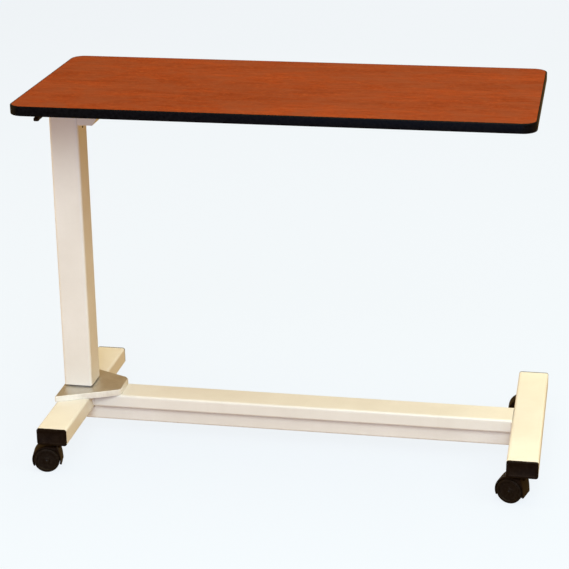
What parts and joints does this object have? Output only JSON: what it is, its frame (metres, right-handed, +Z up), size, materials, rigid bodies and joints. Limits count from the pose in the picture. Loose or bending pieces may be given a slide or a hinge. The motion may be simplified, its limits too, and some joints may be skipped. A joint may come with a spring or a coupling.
{
  "type": "overbed table",
  "caption": "Overbed table: rectangular top cantilevered from a telescoping column with a gas-spring release lever, over an H-shaped base on swivel castors.",
  "frame": {"origin": "on the floor, under the middle of the whole table's outline", "axes": "+X along the table's length, away from the column; +Y across it, away from the release lever; +Z up"},
  "size_m": [0.9456, 0.412, 0.706],
  "materials": {
    "cream_paint": "semi-gloss cream-white powder coat",
    "plate_paint": "satin silver-grey paint",
    "laminate": "satin cherry wood-grain laminate",
    "edging": "satin black moulding",
    "black_plastic": "fine-textured black moulded plastic",
    "wheel_plastic": "satin black nylon wheel",
    "guide_plastic": "natural moulded acetal",
    "zinc_steel": "zinc-plated steel",
    "black_steel": "black-coated steel"
  },
  "bodies": {
    "base": {"left_leg_tube": "cream_paint", "right_leg_tube": "cream_paint", "stretcher_tube": "cream_paint", "lower_rail": "cream_paint", "rail_plug_left": "black_plastic", "rail_plug_right": "black_plastic", "base_plate": "plate_paint", "leg_bolt_front": "zinc_steel", "leg_bolt_rear": "zinc_steel", "inner_column": "zinc_steel", "column_top_bush": "guide_plastic", "gas_spring_cylinder": "black_steel", "gas_spring_gland": "black_steel", "leg_cap_front_left": "black_plastic", "leg_cap_front_right": "black_plastic", "leg_cap_rear_left": "black_plastic", "leg_cap_rear_right": "black_plastic", "castor_socket_front_left": "black_plastic", "castor_socket_front_right": "black_plastic", "castor_socket_rear_left": "black_plastic", "castor_socket_rear_right": "black_plastic"},
    "lift": {"outer_column": "cream_paint", "column_guide_collar": "guide_plastic", "spring_head_block": "zinc_steel", "gas_spring_rod": "zinc_steel", "column_side_screw": "black_steel", "head_plate": "cream_paint", "support_arm": "cream_paint", "tabletop_panel": "laminate", "tabletop_edge_band": "edging", "top_screw_head_front": "zinc_steel", "top_screw_head_rear": "zinc_steel", "top_screw_arm_front": "zinc_steel", "top_screw_arm_rear": "zinc_steel", "lever_bracket": "zinc_steel", "lever_pivot_pin": "zinc_steel"},
    "lever": {"lever_arm": "zinc_steel", "lever_grip": "black_plastic"},
    "release_pin": {"release_pin": "zinc_steel"},
    "castor_front_left": {"castor_hood_front_left": "black_plastic", "castor_stem_front_left": "zinc_steel"},
    "wheels_front_left": {"castor_axle_front_left": "zinc_steel", "castor_wheel_a_front_left": "wheel_plastic", "castor_wheel_b_front_left": "wheel_plastic"},
    "castor_front_right": {"castor_hood_front_right": "black_plastic", "castor_stem_front_right": "zinc_steel"},
    "wheels_front_right": {"castor_axle_front_right": "zinc_steel", "castor_wheel_a_front_right": "wheel_plastic", "castor_wheel_b_front_right": "wheel_plastic"},
    "castor_rear_left": {"castor_hood_rear_left": "black_plastic", "castor_stem_rear_left": "zinc_steel"},
    "wheels_rear_left": {"castor_axle_rear_left": "zinc_steel", "castor_wheel_a_rear_left": "wheel_plastic", "castor_wheel_b_rear_left": "wheel_plastic"},
    "castor_rear_right": {"castor_hood_rear_right": "black_plastic", "castor_stem_rear_right": "zinc_steel"},
    "wheels_rear_right": {"castor_axle_rear_right": "zinc_steel", "castor_wheel_a_rear_right": "wheel_plastic", "castor_wheel_b_rear_right": "wheel_plastic"}
  },
  "joints": [
    {"name": "lift_slide", "type": "slide", "parent": "base", "child": "lift", "axis": [0, 0, 1], "range_m": [0, 0.38]},
    {"name": "lever_hinge", "type": "hinge", "parent": "lift", "child": "lever", "pos_m": [-0.42338, -0.05, 0.6777], "axis": [-1, 0, 0], "range_deg": [0, 2.6], "stiffness_Nm_per_rad": 4, "springref_deg": -5.73},
    {"name": "release_pin_slide", "type": "slide", "parent": "lift", "child": "release_pin", "axis": [0, 0, -1], "range_m": [0, 0.0023]},
    {"name": "swivel_front_left", "type": "hinge", "parent": "base", "child": "castor_front_left", "pos_m": [-0.42338, -0.175, 0.06], "axis": [0, 0, 1], "continuous": true},
    {"name": "wheel_spin_front_left", "type": "hinge", "parent": "castor_front_left", "child": "wheels_front_left", "pos_m": [-0.44173, -0.17857, 0.024], "axis": [0.1908, -0.9816, 0], "continuous": true},
    {"name": "swivel_front_right", "type": "hinge", "parent": "base", "child": "castor_front_right", "pos_m": [0.44462, -0.175, 0.06], "axis": [0, 0, 1], "continuous": true},
    {"name": "wheel_spin_front_right", "type": "hinge", "parent": "castor_front_right", "child": "wheels_front_right", "pos_m": [0.42665, -0.16985, 0.024], "axis": [-0.2756, -0.9613, 0], "continuous": true},
    {"name": "swivel_rear_left", "type": "hinge", "parent": "base", "child": "castor_rear_left", "pos_m": [-0.42338, 0.175, 0.06], "axis": [0, 0, 1], "continuous": true},
    {"name": "wheel_spin_rear_left", "type": "hinge", "parent": "castor_rear_left", "child": "wheels_rear_left", "pos_m": [-0.44208, 0.175, 0.024], "axis": [0, -1, 0], "continuous": true},
    {"name": "swivel_rear_right", "type": "hinge", "parent": "base", "child": "castor_rear_right", "pos_m": [0.44462, 0.175, 0.06], "axis": [0, 0, 1], "continuous": true},
    {"name": "wheel_spin_rear_right", "type": "hinge", "parent": "castor_rear_right", "child": "wheels_rear_right", "pos_m": [0.42592, 0.175, 0.024], "axis": [0, -1, 0], "continuous": true}
  ],
  "couplings": [
    {"joint": "release_pin_slide", "follows": "lever_hinge", "m_per_rad": 0.05}
  ]
}
